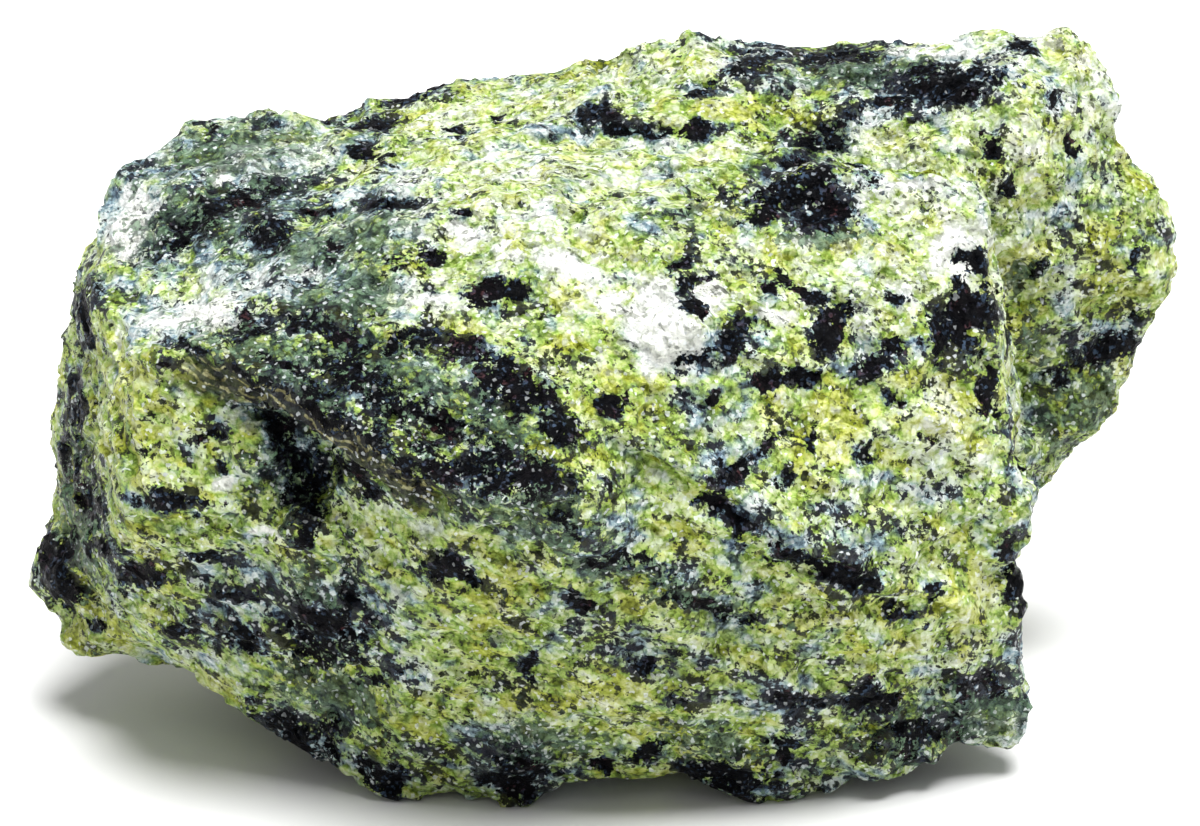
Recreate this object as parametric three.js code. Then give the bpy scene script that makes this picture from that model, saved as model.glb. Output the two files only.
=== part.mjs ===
// A hand specimen of serpentine rock: one solid, broken on all sides, that rests on a small flat spot.
//
// Millimetres. +X runs along the rock's length, +Y from its broad front to its back, and +Z is up.
// The origin is under the middle of the rock, on the surface that it rests on.
//
// The rock is a cage of named corners, where its fracture faces meet. A shelf of harder rock juts out
// over the hollow in the broad front, and a raised shoulder lies along the back of the right half,
// behind a groove, and reaches past the end of the block in front of it.
// The cage's faces are split into small ones, which are then roughened.
import * as THREE from "three";
import { ConvexGeometry } from "three/addons/geometries/ConvexGeometry.js";
import { ImprovedNoise } from "three/addons/math/ImprovedNoise.js";
import { TessellateModifier } from "three/addons/modifiers/TessellateModifier.js";
import { mergeVertices } from "three/addons/utils/BufferGeometryUtils.js";

// Driving dimensions.
const HEART = new THREE.Vector3(3, 6, 23); // every point of the surface can be seen from here
const LONGEST_EDGE = 2.9; // of the small faces
const MOST_ROUNDS_OF_SPLITTING = 30;
// Relief laid over the flat faces: size of the lumps and how far they stand out or in.
const RELIEF = [
  { size: 11, height: 0.55 },
  { size: 5, height: 0.4 },
  { size: 2.6, height: 0.22 },
];
// The rock splits into sheets across this direction, so its lumps are flattened along it.
const SHEET_NORMAL = new THREE.Vector3(0.42, -0.22, 0.88).normalize();
const SHEET_SQUEEZE = 1.7;

// Corners of the front, from the foot up.
const FRONT_FOOT = {
  left_heel: [-38.9, 3, 6],
  left_toe: [-33.5, -3, 9],
  left_arch: [-27.2, -7, 6.1],
  left_arch_end: [-22.1, -9, 3.4],
  toe_1: [-17.9, -11, 1.5],
  toe_2: [-14.9, -12, -0.2],
  gap_1: [-11.4, -12, 0.6],
  toe_3: [-5.7, -13, -0.1],
  gap_2: [-1.8, -13, 2],
  gap_3: [5.7, -13, 2.3],
  toe_4: [13.2, -12, -0.2],
  gap_4: [20, -11, 1.9],
  gap_5: [25.5, -9, 2.9],
  right_toe: [30.5, -7, 2.3],
};
const FRONT_LOWER = {
  low_1: [-34.3, -7, 13.2],
  low_2: [-24.8, -12, 11.8],
  low_3: [-14, -16, 10.4],
  low_4: [-2.8, -18, 11.3],
  low_5: [8.4, -17.5, 10.3],
  low_6: [19.7, -15, 10.8],
  middle_1: [-34.5, -10, 17.9],
  middle_2: [-23.4, -15, 19.1],
  middle_3: [-14.5, -19, 19.9],
  middle_4: [-5.5, -22, 20.4],
  middle_5: [5.5, -21, 19.3],
  middle_6: [16.7, -18, 17.3],
  middle_7: [23.8, -14, 16.4],
};
const LEFT_PILLAR = {
  pillar_top: [-32.5, -13, 34.3],
  pillar_waist: [-32.8, -13.5, 29],
  pillar_foot: [-32.5, -14, 21.7],
  pillar_inner_top: [-26.5, -15.5, 32.1],
  pillar_inner_waist: [-23.4, -16.4, 27],
  pillar_inner_foot: [-22.4, -16.8, 22.7],
};
const SHELF = {
  shelf_1: [-28.9, -15, 35.4],
  shelf_2: [-23.9, -19, 33.7],
  shelf_3: [-18.3, -23, 31.6],
  shelf_4: [-13.5, -25.5, 30.2],
  shelf_5: [-8.4, -26.3, 28.6],
  shelf_6: [-2.7, -26, 29.4],
  hollow_1: [-20.8, -15, 26.2],
  hollow_2: [-19.9, -17, 30.4],
  hollow_3: [-17.5, -18.5, 27.3],
  hollow_4: [-13, -20.5, 25],
  hollow_5: [-6.8, -22.5, 23.9],
};
const FRONT_SLOPE = {
  slope_1: [-24.3, -10, 37.3],
  slope_2: [-18.5, -15, 36.8],
  slope_3: [-11.6, -18, 35.7],
  slope_4: [-5.4, -21, 33.9],
  slope_5: [0, -21, 32.4],
  lip_1: [2.7, -21.5, 30.4],
  lip_2: [10.9, -21, 24.8],
  lip_3: [17.9, -19, 20.3],
  under_lip: [11.7, -19.6, 21.6],
};
const FRONT_RIGHT = {
  knob: [5.8, -17, 38.1],
  knob_foot: [2.7, -17.5, 35.5],
  face_1: [12.4, -13.5, 38.5],
  face_2: [18.7, -12, 38],
  face_3: [23.6, -11.5, 35.6],
  face_4: [8.2, -18.5, 31.5],
  face_5: [16.6, -15.5, 29.7],
  face_6: [23.6, -13.5, 27.5],
  face_7: [20.8, -15.5, 23],
};

// Corners of the top, from the front edge back.
const TOP_EDGE = {
  edge_1: [-32.3, -9, 35.1],
  edge_2: [-28.1, -6, 35.9],
  edge_3: [-21.1, -4, 39.7],
  edge_4: [-11.9, -5, 42.3],
  edge_5: [-2.8, -7, 43.3],
  edge_6: [2.1, -8, 42.9],
  edge_7: [6.3, -6, 42.9],
  edge_8: [10.9, -4, 43.8],
  edge_9: [14, -3, 44.7],
  edge_10: [19.6, -4, 44.7],
  crest_pit: [14, -6.5, 42.4],
};
const TOP = {
  top_1: [-28.8, 6, 39.1],
  top_2: [-19.5, 8, 40.3],
  top_3: [-10.9, 10, 42.1],
  top_4: [-2.9, 12, 42.7],
  top_5: [3.6, 8, 42.2],
  groove_1: [9.4, 7, 42.3],
  groove_2: [18, 3.5, 41.3],
  groove_3: [25.5, 3, 40.8],
};
const BACK_RIM = {
  rim_1: [-33.4, 15, 40.6],
  rim_2: [-30.3, 18, 41.7],
  rim_3: [-26.8, 20, 41.7],
  rim_4: [-21, 23, 40.4],
  rim_5: [-15, 25, 41.4],
  rim_6: [-9, 26, 42.8],
  rim_7: [-3, 26.3, 43.8],
  rim_8: [1.5, 26, 43.3],
};
const SHOULDER_TOP = {
  hump_1: [4.3, 25, 46.6],
  hump_2: [6.9, 24, 47.5],
  hump_3: [9.1, 24, 47],
  crown_1: [12.7, 25, 46.2],
  crown_2: [21, 25, 46],
  crown_3: [26.2, 24.5, 46.4],
  crown_4: [30.1, 22.5, 47.9],
  crown_5: [32.6, 21, 47.6],
  crown_6: [34.9, 19.5, 48.2],
  crown_7: [37.1, 18.5, 47],
  crown_8: [38.4, 17.5, 43.9],
  brow_1: [7.4, 17, 45.2],
  brow_2: [14.7, 17, 45.6],
  brow_3: [22, 16, 46.3],
  brow_4: [29.2, 13.5, 47],
  slope_foot_1: [11.6, 10.5, 42.9],
  slope_foot_2: [18.1, 8.5, 42.8],
  slope_foot_3: [24.6, 8, 42.6],
};

// Corners of the ends.
const LEFT_END = {
  nose: [-41.7, 5, 10],
  left_1: [-40, 6, 16.3],
  left_2: [-40.2, 7, 20.6],
  left_3: [-39.5, 8, 26.5],
  left_4: [-38, 9, 32.4],
  left_5: [-36.7, 10, 37.3],
  left_crest: [-35.7, 12, 40.1],
  left_face_1: [-35.5, -2, 34.6],
  left_face_2: [-37.1, 0, 22.5],
  left_face_3: [-37.8, 0, 13.9],
  left_back_1: [-38, 14, 31],
  left_back_2: [-39, 14, 21],
  left_back_3: [-38, 12, 11],
};
const RIGHT_END = {
  end_crest: [26.8, -4, 44.4],
  end_1: [27.3, -6, 41.5],
  end_2: [27.7, -8, 37.4],
  end_3: [28.4, -9, 31.8],
  end_4: [29.7, -10, 24.7],
  end_5: [30.2, -10, 20.9],
  end_6: [29.7, -9, 16.7],
  end_7: [30.4, -9.5, 11.6],
  end_8: [31, -8, 4.6],
  end_face_1: [28.6, 0, 36],
  end_face_2: [29.4, -1, 22],
  end_face_3: [30.2, 0, 9],
  notch_1: [28.6, 6.5, 41],
  notch_2: [29.6, 7, 31],
  notch_3: [30.2, 8, 19],
  notch_4: [30, 9, 9],
};
const SHOULDER_END = {
  side_1: [38, 17, 41.3],
  side_2: [39.2, 16.5, 39.2],
  side_3: [41.6, 16.5, 36.1],
  side_4: [42.7, 16.5, 32.6],
  side_5: [42.1, 16, 28.4],
  side_6: [40, 16, 24.6],
  side_7: [38.8, 15.5, 20.7],
  side_8: [36.7, 15, 17],
  side_9: [34.5, 14, 14.9],
  side_10: [32.2, 12, 14.3],
  front_1: [30.6, 9, 43.5],
  front_2: [34.8, 12, 38.3],
  front_3: [35.2, 12.5, 25.7],
  front_4: [39.5, 13.5, 32],
  rear_1: [37.5, 22, 40],
  rear_2: [41, 21, 32],
  rear_3: [38.5, 20.5, 22],
  rear_4: [33, 18, 13],
};

// Corners of the back, from the rim down.
const BACK = {
  back_1: [-34.5, 18, 32],
  back_2: [-24, 24.5, 33],
  back_3: [-12, 27, 33],
  back_4: [-1, 27, 34],
  step_1: [2.5, 23.5, 34],
  step_2: [3, 23, 21],
  step_3: [2, 20.5, 13],
  back_5: [9, 24.5, 36],
  back_6: [20, 26.5, 35],
  back_7: [32, 24, 36],
  ledge_1: [-34.5, 19, 25],
  ledge_2: [-23, 26, 24],
  ledge_3: [-11, 28, 22],
  ledge_4: [-1, 27.5, 20.5],
  ledge_5: [11, 23.5, 23],
  ledge_6: [23, 25.5, 23],
  ledge_7: [33, 22, 25],
  under_ledge_1: [-32, 15, 19.5],
  under_ledge_2: [-21.5, 20.5, 18],
  under_ledge_3: [-10, 22.5, 16],
  under_ledge_4: [-1, 23, 14.5],
  under_ledge_5: [13, 21, 12.5],
  under_ledge_6: [24, 18, 11.5],
};
const UNDERSIDE = {
  heel_1: [-33, 8, 6],
  heel_2: [-25, 13, 3.5],
  heel_3: [-14, 16, 1],
  heel_4: [-3, 17.5, -0.4],
  heel_5: [9, 17, -0.4],
  heel_6: [19, 14, 1],
  heel_7: [27, 9.5, 3],
  sole_1: [-26, 1, 3.5],
  sole_2: [-14, 2, 0.8],
  sole_3: [-3, 4, -0.7],
  sole_4: [8, 2, 0.3],
  sole_5: [19, 1, 1.2],
};
const CORNERS = {
  ...FRONT_FOOT,
  ...FRONT_LOWER,
  ...LEFT_PILLAR,
  ...SHELF,
  ...FRONT_SLOPE,
  ...FRONT_RIGHT,
  ...TOP_EDGE,
  ...TOP,
  ...BACK_RIM,
  ...SHOULDER_TOP,
  ...LEFT_END,
  ...RIGHT_END,
  ...SHOULDER_END,
  ...BACK,
  ...UNDERSIDE,
};

const noise = new ImprovedNoise();

// How far the relief stands out at a point.
function reliefAt(point) {
  const across = point.dot(SHEET_NORMAL) * (SHEET_SQUEEZE - 1);
  const p = point.clone().addScaledVector(SHEET_NORMAL, across);
  return RELIEF.reduce(
    (sum, { size, height }) => sum + height * noise.noise(p.x / size, p.y / size + size, p.z / size),
    0,
  );
}

// The flat faces between the corners. Which corners are neighbours follows from the convex hull of the
// directions in which they lie from the heart of the rock.
function cageOf(corners) {
  const reach = Object.values(corners).map((corner) => new THREE.Vector3(...corner).sub(HEART));
  const directions = reach.map((v) => v.clone().normalize());
  const cage = new ConvexGeometry(directions);
  const position = cage.getAttribute("position");
  for (let i = 0; i < position.count; i++) {
    const direction = new THREE.Vector3().fromBufferAttribute(position, i);
    const distances = directions.map((other) => other.distanceToSquared(direction));
    const corner = reach[distances.indexOf(Math.min(...distances))].clone().add(HEART);
    position.setXYZ(i, corner.x, corner.y, corner.z);
  }
  cage.deleteAttribute("normal");
  return cage;
}

// The rock's surface: the cage's faces split into small ones and roughened.
function surfaceOver(cage) {
  const splitter = new TessellateModifier(LONGEST_EDGE, MOST_ROUNDS_OF_SPLITTING);
  const surface = mergeVertices(splitter.modify(cage));
  surface.computeVertexNormals();
  const position = surface.getAttribute("position");
  const normal = surface.getAttribute("normal");
  for (let i = 0; i < position.count; i++) {
    const p = new THREE.Vector3().fromBufferAttribute(position, i);
    const n = new THREE.Vector3().fromBufferAttribute(normal, i);
    p.addScaledVector(n, reliefAt(p));
    position.setXYZ(i, p.x, p.y, Math.max(p.z, 0)); // worn flat where it rests
  }
  return surface;
}

// Puts the origin under the middle of the rock.
function centreOnBase(geometry) {
  geometry.computeBoundingBox();
  const { min, max } = geometry.boundingBox;
  geometry.translate(-(min.x + max.x) / 2, -(min.y + max.y) / 2, -min.z);
  geometry.computeVertexNormals();
  return geometry;
}

const serpentine = new THREE.MeshStandardMaterial({ color: 0x9aa45a, roughness: 0.55, metalness: 0 });
const rock = new THREE.Mesh(centreOnBase(surfaceOver(cageOf(CORNERS))), serpentine);
rock.name = "serpentine_rock";

const specimen = new THREE.Group();
specimen.add(rock);
export default specimen;
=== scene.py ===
"""A hand specimen of serpentine rock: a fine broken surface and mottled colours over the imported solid.

Metres in the row frame, except where a name ends in _MM, and in the noise and the material, which work in
millimetres. Places on the front are given as the camera sees them, in pixels of a picture of 1200 x 826.
"""

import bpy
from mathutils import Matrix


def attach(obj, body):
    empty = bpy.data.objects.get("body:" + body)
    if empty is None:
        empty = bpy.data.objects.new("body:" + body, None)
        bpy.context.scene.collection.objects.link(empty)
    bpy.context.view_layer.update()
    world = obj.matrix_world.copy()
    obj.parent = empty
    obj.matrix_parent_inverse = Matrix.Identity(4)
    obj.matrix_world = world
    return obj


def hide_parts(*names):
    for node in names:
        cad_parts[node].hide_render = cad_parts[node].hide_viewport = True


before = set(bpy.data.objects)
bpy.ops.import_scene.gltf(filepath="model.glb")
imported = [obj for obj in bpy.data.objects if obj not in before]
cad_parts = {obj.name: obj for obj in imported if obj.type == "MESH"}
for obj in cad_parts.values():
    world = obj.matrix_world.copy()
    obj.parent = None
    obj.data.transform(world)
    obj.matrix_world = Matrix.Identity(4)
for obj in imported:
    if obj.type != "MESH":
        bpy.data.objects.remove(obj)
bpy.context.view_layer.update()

import copy
import itertools
import math
from types import SimpleNamespace

import bmesh
import bpy
import numpy as np
from mathutils import Matrix, Vector
from mathutils.bvhtree import BVHTree

SEED = 5045
MM = 0.001

# ----------------------------------------------------------------------------------------------------------
# The camera, and the picture plane that places on the front are given in.
PICTURE_WIDTH, PICTURE_HEIGHT = 1200, 826
SENSOR_WIDTH_MM = 36.0
CAMERA_ELEVATION = math.radians(20)
CAMERA_DISTANCE = 0.400
CAMERA_TARGET = Vector((-0.0003, -0.0009, 0.0253))
PIXELS_PER_MM = 13.9  # at the target
FOCAL_PIXELS = PIXELS_PER_MM * CAMERA_DISTANCE / MM
NEAREST_SEEN = 0.01

# The mesh.
FACE_SIZE = 0.00034
WELD_DISTANCE = 1e-6
MOST_TRIANGLES = 192000
FLAT_UNDER_MM = 0.12  # below this height the rock is flat where it rests

# The rock splits into sheets across this direction.
SHEET_NORMAL = Vector((0.42, -0.22, 0.88)).normalized()
SHEET_THICKNESS_MM = 2.2

# How the ellipses, lines and ledges of the front are read. Lengths are in pixels.
STEPS_TO_MIDDLE = 60  # tried from a place that misses the rock, on the way to the middle of the picture
DEPTH_PER_WIDTH = 3  # an ellipse reaches this many half widths in depth, on top of its half length
LEDGE_EDGE = 3.0  # a ledge steps down over this
LEDGE_REACH = 60  # how far a ledge reaches in depth, on top of its reach below
# Noises that make the ledges and the patches of the minerals wander: how far each moves them in pixels, its
# size in mm and its shift.
LEDGE_WANDER = ((5, 2.4, 71.9), (2.5, 1.1, 77.7))
PATCH_WANDER = ((11, 2.6, 83.1), (8, 1.1, 97.3))
PATCH_WANDER_SHIFT = 37.7  # from the noises that move the patches across to those that move them down


# ----------------------------------------------------------------------------------------------------------
# Places on the front, in pixels of the picture.
def camera_axes():
    """The camera's place and its axes: right, up and back."""
    back = Vector((0, -math.cos(CAMERA_ELEVATION), math.sin(CAMERA_ELEVATION)))
    right = Vector((1, 0, 0))
    return CAMERA_TARGET + back * CAMERA_DISTANCE, right, back.cross(right), back


class Picture:
    """The rock as the camera sees it: where its vertices are in the picture, and how deep it is there."""

    def __init__(self, mesh, points):
        self.eye, self.right, self.up, self.back = camera_axes()
        away = points - np.array(self.eye)
        self.depth = -away @ np.array(self.back)
        self.across = PICTURE_WIDTH / 2 + FOCAL_PIXELS * (away @ np.array(self.right)) / self.depth
        self.down = PICTURE_HEIGHT / 2 - FOCAL_PIXELS * (away @ np.array(self.up)) / self.depth
        self.tree = BVHTree.FromPolygons(points.tolist(), [p.vertices[:] for p in mesh.polygons])

    def shifted(self, across, down):
        """The same picture with its vertices moved by these pixels, so that what is placed in it wanders."""
        other = copy.copy(self)
        other.across, other.down = self.across + across, self.down + down
        return other

    def depth_at(self, across, down):
        """How deep the rock is at a pixel, or at the nearest one towards the middle of the picture that it
        covers."""
        middle = (PICTURE_WIDTH / 2, PICTURE_HEIGHT / 2)
        for step in np.linspace(0, 1, STEPS_TO_MIDDLE):
            x = (across + (middle[0] - across) * step - middle[0]) / FOCAL_PIXELS
            y = (middle[1] - (down + (middle[1] - down) * step)) / FOCAL_PIXELS
            ray = self.right * x + self.up * y - self.back
            hit = self.tree.ray_cast(self.eye, ray.normalized())[0]
            if hit is not None:
                return -(hit - self.eye).dot(self.back)
        raise ValueError(f"the rock isn't seen near pixel {across}, {down}")

    def ellipse(self, across, down, half_length, half_width, tilt):
        """1 at the middle of an ellipse, 0 at its edge and less outside. Its long axis falls to the right by
        tilt, in degrees."""
        turn = math.radians(tilt)
        dx, dy = self.across - across, self.down - down
        along = (dx * math.cos(turn) + dy * math.sin(turn)) / half_length
        beside = (dy * math.cos(turn) - dx * math.sin(turn)) / half_width
        behind = (self.depth - self.depth_at(across, down)) / MM * PIXELS_PER_MM
        behind = behind / (half_length + DEPTH_PER_WIDTH * half_width)
        return 1 - np.sqrt(along**2 + beside**2 + behind**2)

    def line(self, places, reach):
        """Each vertex's distance in pixels from a line through these places, positive on its right as one
        goes along it, and a weight that falls to 0 at both ends of the line and far behind or in front."""
        ends = [np.array((x, y, self.depth_at(x, y) / MM * PIXELS_PER_MM)) for x, y in places]
        here = np.stack((self.across, self.down, self.depth / MM * PIXELS_PER_MM), axis=1)
        nearest = np.full(len(here), np.inf)
        side, weight = np.zeros(len(here)), np.zeros(len(here))
        for i, (a, b) in enumerate(itertools.pairwise(ends)):
            run = (b - a) * (1, 1, 0)
            share = np.clip((here - a) @ run / (run @ run), 0, 1)
            away = here - a - share[:, None] * (b - a)
            distance = np.hypot(away[:, 0], away[:, 1])
            closer = distance < nearest
            right = run[0] * away[:, 1] - run[1] * away[:, 0] > 0
            level = np.exp(-((away[:, 2] / reach) ** 2))
            level *= np.sin(math.pi * (i + share) / (len(ends) - 1)) ** 0.5
            nearest = np.where(closer, distance, nearest)
            side = np.where(closer, np.where(right, distance, -distance), side)
            weight = np.where(closer, level, weight)
        return side, weight

    def ledge(self, places, rise, drop, above, below):
        """How far a ledge along these places stands out: by rise over it and in by drop under it, and less
        farther away, over that many pixels."""
        side, weight = self.line(places, LEDGE_REACH + below)
        step = 0.5 + 0.5 * np.tanh(side / LEDGE_EDGE)
        over = rise * np.exp(np.minimum(side, 0) / above)
        under = -drop * np.exp(-np.maximum(side, 0) / below)
        return weight * ((1 - step) * over + step * under)


# ----------------------------------------------------------------------------------------------------------
# Noise over the vertices. Points and sizes are in mm, and a shift only keeps two noises from being alike.
NOISE_TABLE = 256
NOISE_GAIN = 1.7  # brings the noise to about -1 to 1
random = np.random.default_rng(SEED)
SHUFFLED = random.permutation(NOISE_TABLE)
SLOPES = random.normal(size=(NOISE_TABLE, 3))
SLOPES /= np.linalg.norm(SLOPES, axis=1, keepdims=True)


def noise(points_mm, size, shift=0.0):
    """Smooth noise from about -1 to 1 with lumps of that size."""
    scaled = points_mm / size + shift
    cell = np.floor(scaled).astype(int)
    inside = scaled - cell
    ease = inside**3 * (inside * (inside * 6 - 15) + 10)
    total = np.zeros(len(points_mm))
    for corner in itertools.product((0, 1), repeat=3):
        x, y, z = ((cell + corner) % NOISE_TABLE).T
        xy = (SHUFFLED[(SHUFFLED[x] + y) % NOISE_TABLE] + z) % NOISE_TABLE
        slope = SLOPES[SHUFFLED[xy]]
        weight = np.prod(np.where(corner, ease, 1 - ease), axis=1)
        total += weight * np.einsum("ij,ij->i", slope, inside - corner)
    return total * NOISE_GAIN


def wander(points_mm, noises, shift=0.0):
    """The sum of these noises, each given by its height, size and shift."""
    return sum(height * noise(points_mm, size, own_shift + shift) for height, size, own_shift in noises)


CELL_TABLE = 4096
CELL_MIDDLES = random.random((CELL_TABLE, 3))
CELL_LEANS = random.normal(size=(CELL_TABLE, 3))
CELL_LEANS /= np.linalg.norm(CELL_LEANS, axis=1, keepdims=True)
CELL_STEPS = np.array((73, 1567, 2909))


def near_cells(points_mm, size, shift=0.0):
    """For each point the 27 random cells round it: the way from its middle, in cells, and its number."""
    scaled = points_mm / size + shift
    whole = np.floor(scaled).astype(int)
    for corner in itertools.product((-1, 0, 1), repeat=3):
        cell = whole + corner
        number = (cell * CELL_STEPS).sum(axis=1) % CELL_TABLE
        yield scaled - cell - CELL_MIDDLES[number], number


def grains(points_mm, size):
    """Round grains of that size: 0 at a grain's middle and about -0.5 in the grooves between grains."""
    nearest = np.full(len(points_mm), np.inf)
    for away, _ in near_cells(points_mm, size):
        nearest = np.minimum(nearest, np.einsum("ij,ij->i", away, away))
    return -nearest


def facets(points_mm, size, sharpness, shift):
    """Small broken planes of that size, each leaning its own way, from about -0.6 to 0.6."""
    squares, heights = [], []
    for away, number in near_cells(points_mm, size, shift):
        squares.append(np.einsum("ij,ij->i", away, away))
        heights.append(np.einsum("ij,ij->i", away, CELL_LEANS[number]))
    squares = np.array(squares)
    weights = np.exp((squares.min(axis=0) - squares) * sharpness)
    return (weights * np.array(heights)).sum(axis=0) / weights.sum(axis=0)


def pressed(points_mm, squeeze):
    """Points moved apart across the sheets, so that noise read there is flattened along them."""
    normal = np.array(SHEET_NORMAL)
    return points_mm + np.outer(points_mm @ normal * (squeeze - 1), normal)


# ----------------------------------------------------------------------------------------------------------
# The fine surface.
# Ledges on the front, where sheets of the rock break off: the places that each runs through, how far in mm
# it stands out above and is cut in below, and over how many pixels above and below.
LEDGES = {
    "shelf": ([(176, 342), (219, 363), (265, 384), (300, 398), (345, 428), (387, 457), (433, 483),
               (470, 498)], 0.7, 2.2, 12, 34),
    "shelf_end": ([(400, 470), (450, 492), (500, 506), (560, 508), (610, 500)], 0.2, 0.9, 12, 30),
    "shelf_layer": ([(180, 352), (230, 378), (275, 400), (320, 427), (365, 460), (410, 486)],
                    0.4, 0.6, 6, 8),
    "shelf_second": ([(182, 378), (234, 408), (280, 420), (311, 436), (349, 464), (387, 480), (440, 500)],
                     0.6, 1.3, 9, 20),
    "pillar_edge": ([(128, 345), (131, 376), (133, 420), (140, 470), (150, 520)], 0.7, 0.9, 14, 18),
    "slope_upper": ([(250, 318), (300, 312), (340, 322), (400, 345), (470, 380), (540, 410)],
                    0.3, 0.6, 20, 14),
    "slope_fold": ([(300, 360), (350, 380), (420, 420), (500, 445), (580, 455)], 0.3, 0.6, 14, 12),
    "pillar_foot": ([(105, 528), (146, 518), (190, 510), (234, 516), (265, 538), (300, 556)],
                    0.35, 1.0, 12, 26),
    "middle": ([(575, 410), (646, 452), (713, 494), (766, 522), (815, 545)], 0.5, 1.3, 16, 26),
    "middle_second": ([(740, 530), (779, 545), (839, 562), (880, 592), (910, 600)], 0.35, 0.9, 12, 20),
    "middle_third": ([(640, 500), (700, 530), (760, 560), (800, 590)], 0.25, 0.6, 10, 16),
    "fold": ([(470, 530), (520, 545), (580, 556), (630, 576), (689, 596), (739, 619), (790, 650)],
             0.3, 0.8, 12, 18),
    "fold_low": ([(560, 620), (640, 640), (720, 668), (800, 690)], 0.25, 0.6, 10, 14),
    "low_left": ([(200, 628), (250, 645), (326, 675), (403, 694), (480, 700)], 0.3, 0.9, 10, 20),
    "low_left_second": ([(130, 590), (200, 600), (270, 612), (330, 640)], 0.25, 0.7, 10, 16),
    "low_middle": ([(400, 620), (470, 640), (550, 668), (600, 700)], 0.25, 0.6, 10, 14),
    "low_right": ([(760, 690), (830, 700), (900, 690), (960, 670)], 0.25, 0.6, 10, 14),
    "face_upper": ([(740, 300), (800, 290), (860, 300), (930, 290)], 0.25, 0.5, 10, 14),
    "face_middle": ([(740, 382), (800, 372), (860, 384), (900, 372)], 0.25, 0.6, 8, 12),
    "face_low": ([(830, 450), (880, 440), (940, 450), (1000, 440)], 0.25, 0.6, 10, 14),
    "knob_top": ([(640, 296), (660, 270), (684, 256), (706, 258)], 0.4, 0.5, 8, 6),
    "top_groove": ([(470, 148), (540, 135), (600, 126), (660, 130), (725, 122)], 0.3, 1.0, 12, 10),
    "top_left": ([(160, 262), (215, 240), (280, 226), (330, 208), (400, 202)], 0.25, 0.6, 10, 14),
    "crest": ([(996, 186), (930, 177), (883, 171), (798, 166), (735, 180), (690, 200)], 1.2, 4.2, 18, 38),
    "right_edge": ([(1034, 500), (1022, 420), (1010, 340), (995, 250), (985, 180)], 0.8, 3.0, 14, 42),
    "shoulder": ([(745, 90), (800, 118), (860, 128), (930, 118), (990, 90)], 0.3, 0.9, 12, 16),
}
# Places where the surface stands out or in: an ellipse of the picture and its height in mm.
SWELLS = {
    "knob": ((678, 330, 46, 38, 0), 1.1),
    "knob_pit": ((700, 285, 18, 12, -30), -0.5),
    "crest_pit": ((805, 205, 50, 20, -8), -0.7),
    "edge_pit": ((958, 322, 34, 28, -60), -0.5),
    "diagonal_pit": ((742, 465, 42, 9, -40), -0.45),
    "hollow": ((306, 455, 70, 34, 75), -0.8),
    "hollow_foot": ((325, 500, 60, 22, 40), -0.5),
    "slope_pit": ((430, 330, 40, 20, 20), -0.5),
    "slope_lump": ((590, 330, 60, 35, 20), 0.6),
    "foot_lump": ((620, 690, 90, 40, 10), 0.6),
    "face_lump": ((830, 470, 60, 50, 0), 0.5),
    "shoulder_pit": ((1105, 342, 28, 16, -30), -0.5),
    "shoulder_side": ((1150, 240, 110, 50, 85), 1.0),
    "shoulder_low": ((1105, 395, 100, 40, -52), 0.5),
    "shoulder_top": ((1116, 96, 50, 30, 60), 0.7),
    "right_side": ((1020, 520, 80, 34, 88), 0.7),
    "right_foot": ((900, 755, 70, 30, -12), 1.3),
    "left_foot": ((46, 570, 60, 36, 75), 0.8),
    "left_foot_low": ((85, 640, 44, 26, 20), 0.9),
    "left_top": ((92, 240, 40, 25, 80), -0.6),
    "top_dip": ((612, 60, 46, 24, -10), -0.8),
}
SWELL_STEEPNESS = 1.3  # over 1, so that a swell has a level middle

# The forms all over the rock: how high each stands, in mm.
LARGE_FACETS_MM = 0.62
LARGE_LUMPS_MM = 0.16
FACETS_MM = 0.38
SMALL_FACETS_MM = 0.22
GRAINS_MM = 0.16
SMALL_LUMPS_MM = 0.1
CHIPS_MM = 0.6
SHEET_EDGES_MM = 0.34
SHEET_WAVES_MM = 1.1
BEND_MM, BEND_SIZE_MM, BEND_SHIFTS = 0.5, 2.5, (3.3, 5.7, 9.1)


def packed_mesh():
    """A closed copy of the CAD node's mesh."""
    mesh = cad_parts["serpentine_rock"].data.copy()
    welded = bmesh.new()
    welded.from_mesh(mesh)
    bmesh.ops.remove_doubles(welded, verts=welded.verts, dist=WELD_DISTANCE)
    welded.to_mesh(mesh)
    welded.free()
    return mesh


def modified(mesh, *modifiers):
    """The mesh that these modifiers make of this one. Each is given by its kind and its settings."""
    before = bpy.data.objects.new("before", mesh)
    bpy.context.scene.collection.objects.link(before)
    for kind, settings in modifiers:
        modifier = before.modifiers.new(kind, kind)
        for name, value in settings.items():
            setattr(modifier, name, value)
    after = bpy.data.meshes.new_from_object(before.evaluated_get(bpy.context.evaluated_depsgraph_get()))
    bpy.data.objects.remove(before)
    return after


def even_mesh(mesh, smoothing):
    """The same shape with even faces, and its edges worn by that many rounds of smoothing."""
    remesh = ("REMESH", {"mode": "VOXEL", "voxel_size": FACE_SIZE})
    return modified(mesh, remesh, ("SMOOTH", {"factor": 0.5, "iterations": smoothing}))


def thinned(mesh):
    """The same surface in fewer triangles, with more of them where it bends more."""
    triangles = sum(len(face.vertices) - 2 for face in mesh.polygons)
    return modified(mesh, ("DECIMATE", {"ratio": MOST_TRIANGLES / triangles}))


def vertex_array(mesh, name):
    """What the mesh holds under that name for each vertex, as an array of three columns."""
    values = np.empty(len(mesh.vertices) * 3, np.float32)
    mesh.vertices.foreach_get(name, values)
    return values.reshape(-1, 3).astype(float)


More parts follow.
